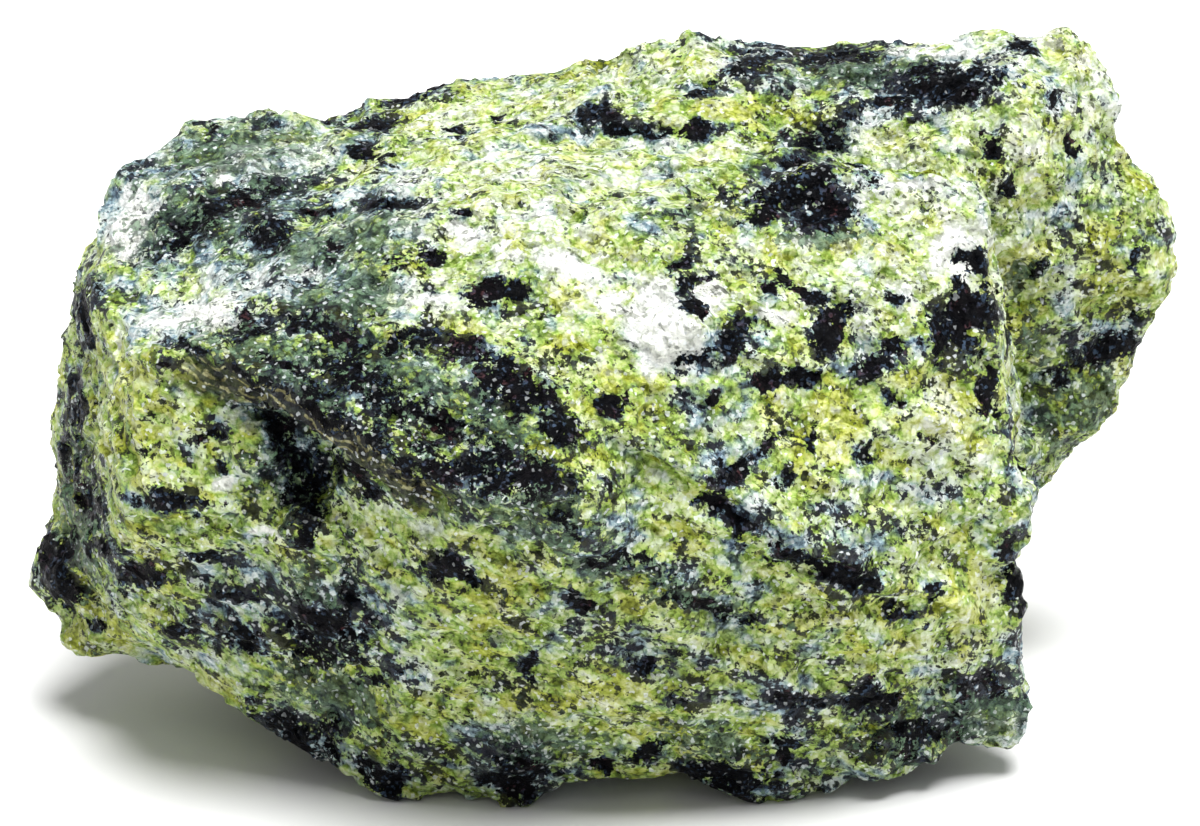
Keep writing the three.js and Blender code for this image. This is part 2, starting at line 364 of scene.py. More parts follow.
def bent(points_mm):
    """Points pushed a little aside, so that edges of cells aren't straight."""
    bends = [BEND_MM * noise(points_mm, BEND_SIZE_MM, shift) for shift in BEND_SHIFTS]
    return points_mm + np.stack(bends, axis=1)


def sheet_edges(points_mm):
    """How far the edges of broken sheets stand out, in mm: each rises slowly and then drops back."""
    height = points_mm @ np.array(SHEET_NORMAL) + SHEET_WAVES_MM * noise(points_mm, size=6.0, shift=41.9)
    step = height / SHEET_THICKNESS_MM % 1.0
    strength = 0.45 + 0.55 * noise(points_mm, size=9.0, shift=53.3)
    return SHEET_EDGES_MM * (step**2 - 0.33) * strength


def ledge_forms(picture, points_mm):
    """The ledges of the front, in mm."""
    wandering = picture.shifted(0, wander(points_mm, LEDGE_WANDER))
    return sum(wandering.ledge(*ledge) for ledge in LEDGES.values())


def broad_forms(mesh):
    """The large broken planes, ledges and hollows, in mm."""
    points = vertex_array(mesh, "co")
    points_mm = points / MM
    flattened = pressed(bent(points_mm), 1.6)
    out = LARGE_FACETS_MM * facets(flattened, size=6.0, sharpness=60, shift=11.3)
    out += LARGE_LUMPS_MM * noise(points_mm, size=5.2)
    picture = Picture(mesh, points)
    out += ledge_forms(picture, points_mm)
    for ellipse, height in SWELLS.values():
        share = np.clip(picture.ellipse(*ellipse) * SWELL_STEEPNESS, 0, 1)
        out += height * share * share * (3 - 2 * share)
    return out


def fine_forms(points_mm):
    """The small broken planes, edges of sheets, chips and grains, in mm."""
    aside = bent(points_mm)
    coarse = FACETS_MM * facets(pressed(aside, 1.5), size=2.7, sharpness=50, shift=17.9)
    coarse += sheet_edges(aside)
    fine = SMALL_FACETS_MM * facets(aside, size=1.3, sharpness=45, shift=23.7)
    fine += GRAINS_MM * grains(aside, size=1.1)
    fine += SMALL_LUMPS_MM * noise(points_mm, size=0.9, shift=29.9)
    strength = np.clip(0.9 + 0.9 * noise(points_mm, size=8.0, shift=87.3), 0.35, 1.4)
    chips = -CHIPS_MM * np.clip(noise(points_mm, size=3.0, shift=61.7) - 0.5, 0, 1)
    return coarse + fine * strength + chips


def displace(mesh, out_mm):
    """Moves each vertex out by that much, but keeps the spot that the rock rests on flat."""
    points = vertex_array(mesh, "co")
    resting = points[:, 2] < FLAT_UNDER_MM * MM
    moved = points + vertex_array(mesh, "normal") * out_mm[:, None] * MM
    moved[:, 2] = np.where(resting, 0, np.maximum(moved[:, 2], 0))
    mesh.vertices.foreach_set("co", moved.astype(np.float32).ravel())
    mesh.update()


# ----------------------------------------------------------------------------------------------------------
# The minerals, and patches of painted light and shade. Each patch on the front is an ellipse of the picture:
# middle across and down, half length, half width and tilt in degrees, positive where the long axis falls to
# the right.
BLACK_PATCHES = {
    "left_top": [(268, 232, 26, 22, 60), (230, 204, 56, 11, -12), (180, 238, 40, 15, -32),
                 (315, 212, 30, 7, -15), (395, 203, 40, 6, 3), (366, 156, 26, 11, 15),
                 (210, 128, 16, 5, 0), (463, 210, 9, 7, 0), (330, 250, 20, 7, -40),
                 (400, 262, 20, 8, -20)],
    "groove": [(600, 117, 24, 13, 0), (655, 128, 66, 7, 3), (705, 128, 16, 9, 0), (460, 134, 18, 6, 10),
               (500, 122, 20, 5, 10)],
    "slope": [(432, 256, 16, 14, 0), (503, 291, 30, 15, -10), (250, 327, 34, 13, 5), (408, 342, 30, 13, 0),
              (340, 335, 40, 16, 30), (365, 385, 60, 26, 35), (440, 420, 50, 22, 30),
              (520, 392, 46, 30, 30), (468, 350, 26, 14, 10), (560, 430, 30, 16, 20),
              (300, 320, 20, 10, 20), (610, 400, 22, 8, 20)],
    "shelf": [(500, 472, 78, 27, 8), (405, 458, 46, 12, 32), (330, 415, 44, 10, 32),
              (250, 374, 46, 10, 26), (195, 350, 26, 8, 15), (290, 372, 44, 8, 30),
              (430, 442, 40, 10, 30)],
    "under_shelf": [(303, 478, 66, 31, 72), (282, 425, 32, 16, 50), (355, 475, 34, 12, 30),
                    (225, 470, 16, 8, 60), (310, 530, 16, 20, 0)],
    "pillar": [(175, 502, 44, 9, 6), (157, 364, 24, 9, 10), (205, 440, 8, 14, 60), (150, 452, 10, 6, 0)],
    "left_face": [(62, 596, 20, 14, 0), (96, 622, 16, 7, 10), (90, 500, 40, 17, 80),
                  (105, 545, 24, 14, 20), (55, 560, 40, 22, 75), (84, 310, 34, 15, 85),
                  (75, 400, 30, 10, 85), (65, 455, 26, 10, 85)],
    "lower_left": [(137, 577, 30, 15, -10), (326, 634, 44, 40, 20), (352, 596, 16, 26, 0),
                   (245, 637, 26, 14, 0), (180, 630, 24, 11, 0), (382, 672, 34, 9, 15),
                   (272, 716, 32, 10, 22), (328, 732, 26, 20, 30), (210, 560, 24, 7, 0),
                   (235, 592, 30, 6, 5)],
    "foot": [(382, 778, 28, 16, 40), (520, 776, 32, 25, 0), (735, 778, 44, 18, 12), (785, 745, 20, 14, 0),
             (690, 770, 26, 10, 10), (302, 745, 34, 14, 35), (640, 752, 20, 10, 0), (600, 768, 18, 8, 0)],
    "lower_middle": [(447, 571, 26, 16, 15), (528, 668, 8, 18, 0), (722, 512, 34, 12, 30),
                     (790, 555, 34, 9, 12), (683, 703, 16, 9, 0), (795, 700, 26, 13, 15),
                     (635, 566, 60, 8, 20), (712, 610, 60, 9, 20), (560, 520, 34, 7, 22),
                     (640, 660, 26, 7, 15), (580, 600, 20, 7, 15)],
    "lower_right": [(866, 700, 34, 20, 15), (915, 735, 46, 20, -18), (850, 575, 32, 16, 20),
                    (902, 612, 20, 9, 0), (1018, 592, 46, 11, 80), (1010, 552, 12, 16, 0),
                    (985, 685, 30, 14, -20), (930, 590, 12, 8, 0)],
    "face": [(742, 465, 44, 10, -40), (818, 440, 26, 5, 85), (785, 478, 16, 11, 0), (863, 455, 11, 9, 0),
             (828, 328, 30, 15, 110), (806, 381, 28, 11, 5), (868, 368, 24, 8, -5), (763, 384, 12, 11, 0),
             (899, 297, 13, 10, 0), (800, 292, 30, 8, 15), (962, 320, 46, 30, -60),
             (948, 332, 28, 24, -60), (975, 262, 22, 12, 70), (986, 398, 26, 9, 85), (905, 352, 12, 8, 0),
             (890, 402, 8, 12, 0), (925, 440, 9, 9, 0)],
    "knob": [(705, 202, 30, 8, -22), (676, 262, 22, 7, -45), (700, 280, 20, 8, -20), (690, 302, 20, 9, 35),
             (736, 336, 30, 15, -50), (696, 358, 22, 9, -15), (714, 399, 10, 10, 0),
             (766, 384, 16, 14, 0)],
    "crest": [(806, 190, 56, 21, -8), (822, 216, 32, 12, 5), (765, 208, 22, 12, -20)],
    "shoulder": [(757, 64, 30, 13, -22), (842, 58, 40, 12, -5), (945, 86, 62, 21, -12),
                 (885, 104, 44, 9, -14), (824, 138, 36, 12, -18), (985, 152, 12, 20, 0),
                 (1009, 187, 12, 15, 0), (1022, 46, 14, 7, 35), (700, 92, 16, 5, -20)],
    "shoulder_end": [(1104, 343, 34, 16, -32), (1066, 372, 26, 8, -20), (1058, 388, 10, 12, 0),
                     (1140, 258, 6, 18, 0), (1050, 95, 9, 14, 0), (1075, 150, 9, 14, 0),
                     (1030, 275, 10, 12, 0)],
}
GREEN_PATCHES = {
    "left_top": [(235, 150, 110, 40, -8), (205, 215, 100, 46, -15), (370, 232, 70, 30, -10),
                 (300, 250, 70, 30, 0)],
    "slope": [(350, 290, 70, 40, -20), (250, 350, 85, 28, 18), (370, 370, 100, 50, 38),
              (470, 415, 90, 40, 22), (300, 385, 80, 20, 30)],
    "under_shelf": [(298, 468, 86, 46, 72)],
    "crest": [(815, 240, 50, 14, -6), (700, 216, 50, 12, -8)],
    "shoulder": [(825, 140, 44, 14, -12), (1022, 278, 20, 20, 0), (860, 72, 100, 18, -6),
                 (1085, 405, 56, 34, -50), (1034, 345, 44, 12, 80), (1050, 430, 40, 16, 78)],
    "lower_right": [(990, 712, 52, 36, 0), (925, 735, 76, 32, -15)],
    "lower": [(335, 690, 70, 50, 40), (545, 742, 60, 22, 0), (325, 585, 50, 26, 0),
              (600, 560, 100, 18, 20), (530, 508, 84, 26, 10), (700, 600, 90, 16, 20),
              (700, 745, 60, 22, 0)],
    "left_face": [(80, 520, 90, 26, 85)],
}
# White patches, most of them painted highlights where light falls brightest on the knob, the corners and the
# slope, with painted rims of light along the crest and the top of the shoulder.
WHITE_AND_HIGHLIGHT_PATCHES = {
    "knob": [(668, 334, 42, 36, -15), (650, 312, 26, 30, 0), (708, 296, 22, 16, 0),
             (770, 310, 20, 10, 20)],
    "left_corner": [(126, 232, 46, 15, 100), (190, 318, 56, 12, -3), (140, 210, 20, 10, -40),
                    (222, 176, 14, 7, 0), (300, 270, 18, 9, 0)],
    "right_corner": [(950, 246, 36, 18, -35), (962, 276, 14, 16, 0)],
    "crest_rim": [(905, 184, 40, 5, 4)],
    "slope": [(470, 236, 24, 9, 10), (566, 262, 30, 14, 20), (430, 300, 26, 9, 0), (610, 300, 20, 10, 20)],
    "pillar": [(265, 532, 22, 7, 20), (226, 486, 14, 10, 0)],
    "shoulder_rim": [(930, 50, 60, 6, -4)],
}
# Pale lime patches, mostly the rock's own colour. Those along the crest and the right edge are painted rims
# of light.
PALE_AND_RIM_LIGHT_PATCHES = {
    "slope": [(500, 232, 120, 46, 8), (600, 285, 90, 42, 20), (440, 300, 70, 40, 0),
              (240, 290, 60, 20, 0)],
    "top": [(560, 165, 200, 40, 0), (420, 178, 60, 34, 0), (480, 110, 100, 24, -14),
            (640, 70, 60, 30, -10), (270, 160, 90, 24, -12)],
    "left_corner": [(136, 225, 52, 22, 100), (185, 318, 75, 24, 0)],
    "face": [(880, 280, 110, 60, -5), (955, 212, 50, 34, -10), (665, 335, 60, 44, 0),
             (940, 440, 60, 60, 0)],
    "shoulder": [(930, 160, 60, 28, -10), (1090, 90, 30, 40, 0), (720, 60, 50, 20, 0),
                 (985, 62, 60, 30, -10), (1020, 160, 40, 60, 0), (850, 130, 70, 20, -10)],
    "crest": [(735, 152, 50, 16, -5), (790, 250, 60, 14, 0), (890, 200, 40, 20, 0),
              (845, 155, 44, 14, -10)],
    "lower_right": [(1000, 735, 40, 22, 0)],
    "right_edge": [(988, 240, 16, 14, 0), (996, 280, 18, 14, 80), (1002, 320, 18, 14, 80),
                   (1008, 360, 18, 14, 80), (1013, 400, 18, 14, 80), (1018, 440, 18, 14, 80),
                   (1022, 480, 18, 14, 80)],
}
YELLOW_PATCHES = {
    "pillar": [(158, 425, 44, 62, 0), (165, 480, 44, 40, 0), (142, 400, 20, 50, 0),
               (215, 440, 30, 26, 20)],
    "lower_left": [(120, 636, 16, 14, 0), (70, 600, 20, 30, 0), (180, 595, 60, 14, 0),
                   (290, 670, 46, 22, 10)],
    "lower": [(330, 728, 40, 20, 30), (420, 740, 60, 22, 10), (600, 690, 70, 28, 0), (585, 684, 30, 16, 0),
              (480, 600, 60, 30, 0), (450, 660, 50, 24, 0)],
    "face": [(730, 580, 30, 20, 0), (784, 636, 24, 18, 0), (853, 640, 16, 28, 0), (800, 450, 40, 30, 0),
             (900, 420, 70, 60, 0), (960, 600, 40, 60, 0), (860, 250, 60, 26, 0), (900, 530, 70, 50, 0),
             (1010, 300, 50, 80, 0), (960, 400, 50, 60, 0)],
    "shoulder": [(735, 105, 60, 14, 0), (790, 100, 30, 14, 0), (1070, 60, 20, 18, 0),
                 (1100, 250, 50, 30, 80), (1035, 150, 50, 44, 0)],
    "slope": [(575, 340, 40, 20, 0), (545, 455, 30, 12, 0), (640, 390, 44, 26, 20)],
}
COOL_PATCHES = {
    "left_top": [(215, 190, 170, 80, -10), (420, 300, 60, 32, 10), (320, 400, 80, 40, 40),
                 (410, 185, 60, 24, 0), (300, 290, 110, 56, 0), (170, 320, 60, 34, 0),
                 (400, 215, 80, 30, 0), (180, 170, 100, 60, -10)],
    "shoulder": [(780, 75, 80, 40, -15), (900, 92, 120, 40, -10), (800, 160, 70, 30, -10),
                 (1058, 280, 34, 80, 0), (810, 225, 60, 24, 0)],
    "middle": [(660, 560, 120, 24, 20), (880, 540, 90, 36, 25), (940, 490, 60, 36, 0),
               (790, 532, 60, 16, 20)],
    "lower": [(250, 600, 120, 34, 10), (340, 590, 50, 44, 0), (640, 640, 110, 22, 20),
              (980, 700, 60, 60, 0), (560, 545, 80, 18, 20), (760, 690, 80, 24, 10), (480, 750, 80, 30, 0),
              (1010, 725, 60, 40, 0)],
}
# Painted shade, partly olive brown colour: patches that darken the low front, the slope and the hollow under
# the shelf, the left side, and the shoulder beside the front block's right edge, where shade falls.
PAINTED_SHADE_AND_OLIVE_PATCHES = {
    "lower_front": [(400, 760, 280, 70, 8), (850, 750, 200, 40, 0), (660, 650, 260, 90, 10)],
    "slope": [(400, 390, 190, 80, 30), (500, 440, 110, 60, 10), (300, 470, 60, 60, 0),
              (655, 425, 90, 44, 25), (520, 530, 90, 40, 10)],
    "left": [(75, 480, 150, 50, 90), (80, 300, 70, 30, 85), (70, 600, 70, 70, 0), (60, 590, 40, 50, 0)],
    "shoulder": [(1042, 310, 150, 32, 82), (1060, 420, 110, 50, 70), (1130, 200, 60, 40, 80)],
}
LEDGE_PAINTED_SHADE = 0.4  # how much of a ledge's height counts in the painted shade: grains are painted darker under it and lighter on it

# Patches where the camera doesn't see, placed at random: how many, their half length in mm from least to
# most, and how much thinner they are across the sheets.
HIDDEN_BEHIND_MM = 4.0  # how far behind what the camera sees they start
HIDDEN_STEP = 5  # every fifth vertex is tried
BESIDE_CHANCE = 0.5  # that a patch lies beside the one before
BESIDE_SPREAD = 0.7  # how far from it, for the most half length
HIDDEN_PATCHES = {
    "black": (95, 1.0, 4.6, 2.4),
    "green": (22, 3.0, 7.0, 2.0),
    "white": (16, 0.8, 2.6, 1.8),
    "pale": (14, 4.0, 9.0, 1.5),
    "yellow": (30, 2.0, 5.0, 1.6),
    "cool": (26, 3.0, 8.0, 1.9),
    "shade": (8, 6.0, 14.0, 1.3),
}
FRONT_PATCHES = {
    "black": BLACK_PATCHES,
    "green": GREEN_PATCHES,
    "white": WHITE_AND_HIGHLIGHT_PATCHES,
    "pale": PALE_AND_RIM_LIGHT_PATCHES,
    "yellow": YELLOW_PATCHES,
    "cool": COOL_PATCHES,
    "shade": PAINTED_SHADE_AND_OLIVE_PATCHES,
}


def hidden_points(points, picture):
    """Points of the rock well behind what the camera sees, so that a patch round one of them stays out of
    its sight."""
    hidden = []
    for point in points[::HIDDEN_STEP]:
        ray = Vector(point) - picture.eye
        distance = picture.tree.ray_cast(picture.eye, ray.normalized())[3]
        if distance is not None and ray.length - distance > HIDDEN_BEHIND_MM * MM:
            hidden.append(point)
    return np.array(hidden)


def random_patches(points, hidden, count, least, most, thinness):
    """The field of patches at random places among the hidden points: 1 in their middles, 0 at their
    edges."""
    field = np.full(len(points), -1.0)
    before = None
    for middle in random.choice(hidden, count, replace=False):
        if before is not None and random.random() < BESIDE_CHANCE:
            beside = before + random.normal(size=3) * BESIDE_SPREAD * most * MM
            middle = hidden[((hidden - beside) ** 2).sum(axis=1).argmin()]
        away = pressed((points - middle) / MM, 1 + (thinness - 1) * 2 * random.random())
        half_length = least + (most - least) * random.random() ** 2
        field = np.maximum(field, 1 - np.linalg.norm(away, axis=1) / half_length)
        before = middle
    return field


def write_field(mesh, name, values):
    mesh.attributes.new(name, "FLOAT", "POINT").data.foreach_set("value", values.astype(np.float32))


def place_minerals(mesh):
    """Writes each mineral's field to the mesh, as an attribute with its name, the height of the fine relief,
    which paints recesses darker and what stands out lighter, and how far each vertex is from the shelf's
    edge and how near its middle. The white, pale and shade fields carry painted light and shade as well."""
    points = vertex_array(mesh, "co")
    points_mm = points / MM
    picture = Picture(mesh, points)
    ledges = ledge_forms(picture, points_mm)
    write_field(mesh, "height", fine_forms(points_mm) + LEDGE_PAINTED_SHADE * ledges)
    across, down = (wander(points_mm, PATCH_WANDER, shift) for shift in (0.0, PATCH_WANDER_SHIFT))
    picture = picture.shifted(across, down)
    hidden = hidden_points(points, picture)
    for mineral, groups in FRONT_PATCHES.items():
        field = random_patches(points, hidden, *HIDDEN_PATCHES[mineral])
        for patch in itertools.chain(*groups.values()):
            field = np.maximum(field, picture.ellipse(*patch))
        write_field(mesh, mineral, field)
    side, weight = picture.line(LEDGES["shelf"][0], LEDGE_REACH)
    write_field(mesh, "shelf_side", side / PIXELS_PER_MM)
    write_field(mesh, "shelf_near", weight)


# ----------------------------------------------------------------------------------------------------------
# The material.
def colour(red, green, blue):
    """A linear colour from one in the usual 0 to 255."""
    linear = [((c / 255 + 0.055) / 1.055) ** 2.4 if c > 10 else c / 255 / 12.92 for c in (red, green, blue)]
    return (*linear, 1.0)


# The grains' colours from dark to light, each at the tone that it stands for.
GREY = [
    (0.06, colour(14, 20, 36)),
    (0.28, colour(66, 84, 104)),
    (0.46, colour(128, 150, 160)),
    (0.64, colour(198, 216, 212)),
    (0.84, colour(246, 252, 248)),
]
LIME = [
    (0.04, colour(30, 38, 22)),
    (0.25, colour(88, 106, 54)),
    (0.46, colour(150, 178, 90)),
    (0.66, colour(202, 226, 156)),
    (0.88, colour(242, 250, 228)),
]
OLIVE = [
    (0.04, colour(34, 34, 14)),
    (0.25, colour(98, 104, 38)),
    (0.46, colour(160, 170, 72)),
    (0.66, colour(206, 218, 136)),
    (0.88, colour(244, 248, 220)),
]
# Olive brown of the shade field: painted shade on the front, a darker tone on the hidden sides.
PAINTED_SHADE_OLIVE = colour(92, 90, 44)
# White of the most bruised grains and of the painted highlights.
BRUISE_AND_HIGHLIGHT = colour(250, 252, 244)
# White of the painted glints.
PAINTED_GLINT = colour(236, 242, 244)
# The rest of the colours. Of two in one line, the first goes over into the second.
SPECK_BLUE, SPECK_OLIVE = colour(10, 15, 30), colour(34, 38, 8)
SPECK_WORN = colour(84, 98, 84)
TINY_SPECK_BLUE, TINY_SPECK_OLIVE = colour(34, 46, 62), colour(58, 68, 22)
GREEN_DARK, GREEN_LIGHT = colour(18, 34, 28), colour(104, 136, 104)
# The shelf's layers: their dark is partly painted shade, and their pale brown lines partly painted light.
LAYER_DARK, LAYER_LIGHT = colour(1, 1, 3), colour(24, 24, 22)
LINE_DARK, LINE_LIGHT = colour(112, 108, 64), colour(200, 196, 150)
BLACK, BLACK_FLECK = colour(1, 2, 6), colour(62, 78, 98)
BROWN, BROWN_FLECK = colour(3, 1, 4), colour(70, 44, 46)

BUMP_DEPTH = 0.0005

# Where each field starts to show, and where it is full. The shade field is partly painted shade and partly a
# darker olive colour, and the white and pale fields partly painted light.
MINERAL_EDGES = {
    "pale": (-0.4, 0.7),
    "yellow": (-0.4, 0.6),
    "cool": (-0.3, 0.6),
    "shade": (-0.2, 0.9),
    "white": (-0.4, 0.5),
}


class Nodes:
    """Short calls for a material's nodes. Each takes sockets or plain values, and returns sockets."""

    def __init__(self, tree):
        self.tree = tree

    def add(self, kind, inputs=(), **settings):
        """A node of that kind, with its settings and what goes into it."""
        node = self.tree.nodes.new(kind)
        for name, value in settings.items():
            setattr(node, name, value)
        for key, value in dict(inputs).items():
            if isinstance(value, bpy.types.NodeSocket):
                self.tree.links.new(value, node.inputs[key])
            else:
                node.inputs[key].default_value = value
        return node

    def math(self, operation, a, b=0.0, c=0.0):
        return self.add("ShaderNodeMath", {0: a, 1: b, 2: c}, operation=operation).outputs[0]

    def vector(self, operation, *values, output="Vector"):
        """Arithmetic on places or colours. A plain number stands for three alike."""
        inputs = {i: (value,) * 3 if isinstance(value, float) else value for i, value in enumerate(values)}
        return self.add("ShaderNodeVectorMath", inputs, operation=operation).outputs[output]

    def total(self, start, *shares):
        """The start plus each value times its weight."""
        for value, weight in shares:
            start = self.math("MULTIPLY_ADD", value, weight, start)
        return start

    def swing(self, value):
        """A value from 0 to 1 as one from -0.5 to 0.5."""
        return self.math("SUBTRACT", value, 0.5)

    def noise(self, at, size, detail, roughness, output="Fac"):
        """Smooth noise from 0 to 1 with lumps of that size in mm."""
        values = {"Vector": at, "Scale": 1 / size, "Detail": detail, "Roughness": roughness}
        return self.add("ShaderNodeTexNoise", values).outputs[output]

    def cells(self, at, size):
        """Random cells of that size in mm: how far a place is from its cell's middle, and the cell's own
        colour and the three numbers in it."""
        node = self.add("ShaderNodeTexVoronoi", {"Vector": at, "Scale": 1 / size})
        distance, shade = node.outputs["Distance"], node.outputs["Color"]
        numbers = self.add("ShaderNodeSeparateColor", {0: shade}).outputs
        return SimpleNamespace(distance=distance, colour=shade, random=numbers)

    def between(self, value, low, high):
        """0 at low and 1 at high, and smooth between them."""
        values = {"Value": value, "From Min": low, "From Max": high}
        return self.add("ShaderNodeMapRange", values, interpolation_type="SMOOTHSTEP").outputs[0]

    def mix(self, share, first, second):
        """The first colour, with that share of the second."""
        return self.add("ShaderNodeMix", {0: share, 6: first, 7: second}, data_type="RGBA").outputs[2]

    def blend(self, value, low, high, first, second, most=1.0):
        """The first colour where a value is at low, and that share of the second where it is at high."""
        return self.mix(self.math("MULTIPLY", self.between(value, low, high), most), first, second)

    def ramp(self, value, stops):
        """The colour between these stops at a value."""
        node = self.add("ShaderNodeValToRGB", {"Fac": value})
        elements = node.color_ramp.elements
        while len(elements) < len(stops):
            elements.new(0.5)
        for element, (place, shade) in zip(elements, stops, strict=True):
            element.position, element.color = place, shade
        return node.outputs["Color"]

    def attribute(self, name):
        return self.add("ShaderNodeAttribute", attribute_name=name).outputs["Fac"]


def rock_fields(nodes):
    """What the colours are worked out from: places in mm, grains in three sizes, clouds and minerals."""
    place = nodes.add("ShaderNodeTexCoord").outputs["Object"]
    mm = nodes.vector("MULTIPLY", place, 1 / MM)
    wobble = nodes.noise(mm, size=1.0, detail=4, roughness=0.6, output="Color")
    wandering = nodes.vector("MULTIPLY_ADD", nodes.vector("SUBTRACT", wobble, 0.5), 0.7, mm)
    height = nodes.vector("DOT_PRODUCT", mm, SHEET_NORMAL, output="Value")

    def pressed_place(start, squeeze):
        along = nodes.vector("MULTIPLY", SHEET_NORMAL, nodes.math("MULTIPLY", height, squeeze - 1))
        return nodes.vector("ADD", along, start)

    sheets = pressed_place(wandering, 2.0)
    grain = nodes.cells(wandering, size=1.15)
    small_grain = nodes.cells(mm, size=0.48)
    minerals = {name: nodes.between(nodes.attribute(name), *edges) for name, edges in MINERAL_EDGES.items()}
    return SimpleNamespace(
        mm=mm,
        sheets=sheets,
        thin_sheets=pressed_place(mm, 4.5),
        grain=grain,
        small_grain=small_grain,
        tiny_grain=nodes.cells(mm, size=0.24),
        gap=nodes.between(small_grain.distance, 0.45, 0.75),
        wide_gap=nodes.between(grain.distance, 0.55, 0.85),
        broad=nodes.noise(mm, size=7.0, detail=3, roughness=0.6),
        middling=nodes.noise(sheets, size=3.0, detail=3, roughness=0.6),
        cloud=nodes.noise(sheets, size=2.4, detail=2, roughness=0.5),
        coarse_sugar=nodes.noise(wandering, size=0.9, detail=4, roughness=0.7),
        ragged=nodes.noise(wandering, size=1.8, detail=4, roughness=0.7),
        **minerals,
    )


def add_dark_fields(nodes, rock):
    """Where the black crystals and the dark green are. Their edges are ragged and follow the grains."""
    edge = nodes.total(
        -3.93,
        (nodes.noise(rock.mm, size=0.6, detail=3, roughness=0.7), 1.8),
        (rock.ragged, 4.6),
        (rock.small_grain.random[2], 0.60),
        (rock.tiny_grain.random[1], 0.25),
        (rock.grain.random[2], 0.35),
    )
    green = nodes.attribute("green")
    light_grain = nodes.between(rock.coarse_sugar, 0.56, 0.60)
    island = nodes.math("MULTIPLY", light_grain, nodes.between(green, -0.3, 0.1))
    depth = nodes.total(edge, (nodes.attribute("black"), 1.5), (island, -1.6))
    rock.green_depth = nodes.math("ADD", green, edge)
    rock.black = nodes.between(depth, 0.0, 0.12)
    rock.halo = nodes.between(depth, -0.9, 0.1)


def add_tone_and_hue(nodes, rock):
    """How light each place is, with grains in three sizes, darker gaps between them, and painted shade and
    light from the relief and the shade, white and pale fields, and its hue, which wanders more slowly, from
    blue-grey over pale green and lime to olive yellow."""
    sugar = nodes.total(-0.25, (rock.small_grain.random[0], 0.28), (rock.tiny_grain.random[0], 0.22))
    plain = nodes.between(nodes.total(rock.cloud, (rock.yellow, 0.3)), 0.45, 0.75)
    rock.sugar = nodes.total(
        0.54,
        (sugar, nodes.total(1.1, (plain, -0.45))),
        (nodes.swing(rock.coarse_sugar), 0.9),
        (rock.gap, -0.14),
        # Painted shade and light: grains darker in recesses and under ledges, lighter where the surface
        # stands out.
        (nodes.attribute("height"), 0.22),
    )
    rock.hue = nodes.total(
        0.63,
        (nodes.swing(rock.cloud), 1.8),
        (nodes.swing(rock.broad), 1.5),
        (nodes.swing(rock.grain.random[1]), 0.10),
        (rock.wide_gap, -0.10),
        (rock.cool, -0.32),
        (rock.halo, -0.25),
        (rock.yellow, 0.20),
        (rock.white, -0.2),
    )
    rock.tone = nodes.total(
        0.38,
        (rock.sugar, 0.34),
        # The shade field darkens the grains as painted shade.
        (rock.shade, -0.06),
        (rock.pale, 0.14),
        (nodes.swing(rock.middling), 0.6),
        (nodes.swing(rock.grain.random[0]), 0.22),
        (rock.wide_gap, -0.12),
        (rock.halo, -0.09),
        # The white field lightens the grains as a painted highlight.
        (rock.white, 0.36),
        (nodes.swing(rock.hue), 0.06),
    )


def grain_colours(nodes, rock):
    """The colour of the grains, with olive brown laid on as painted shade, mostly low down, and white where
    the grains are most bruised and where highlights are painted.
    """
    base = nodes.blend(rock.hue, 0.62, 0.95, nodes.ramp(rock.tone, LIME), nodes.ramp(rock.tone, OLIVE))
    base = nodes.blend(rock.hue, 0.60, 0.10, base, nodes.ramp(rock.tone, GREY))
    # Painted shade: olive brown where the shade field is.
    base = nodes.mix(nodes.math("MULTIPLY", rock.shade, 0.2), base, PAINTED_SHADE_OLIVE)

    # Most of the grains' lightness is plain light and dark: it is added to all three colours where they are
    # about even to the eye, so that it leaves the hue as it is. The lightest and darkest are held back.
    even = nodes.add("ShaderNodeGamma", {"Color": base, "Gamma": 1 / 3}).outputs[0]
    lighter = nodes.total(-0.23, (rock.sugar, 0.54))
    lighter = nodes.math("MINIMUM", lighter, nodes.total(0.02, (lighter, 0.55)))
    even = nodes.vector("MAXIMUM", nodes.vector("ADD", even, lighter), 0.1)
    even = nodes.vector("MINIMUM", even, nodes.vector("MULTIPLY_ADD", even, 0.55, 0.35))
    base = nodes.add("ShaderNodeGamma", {"Color": even, "Gamma": 3.0}).outputs[0]
    richer = {"Saturation": 1.09, "Value": 1.04, "Color": base}
    base = nodes.add("ShaderNodeHueSaturation", richer).outputs[0]
    # Painted highlight: white where the white field is, and on the lightest grains.
    bruise_and_highlight = nodes.total(0.0, (rock.sugar, 0.6), (rock.white, 0.75))
    return nodes.blend(bruise_and_highlight, 0.80, 1.12, base, BRUISE_AND_HIGHLIGHT)


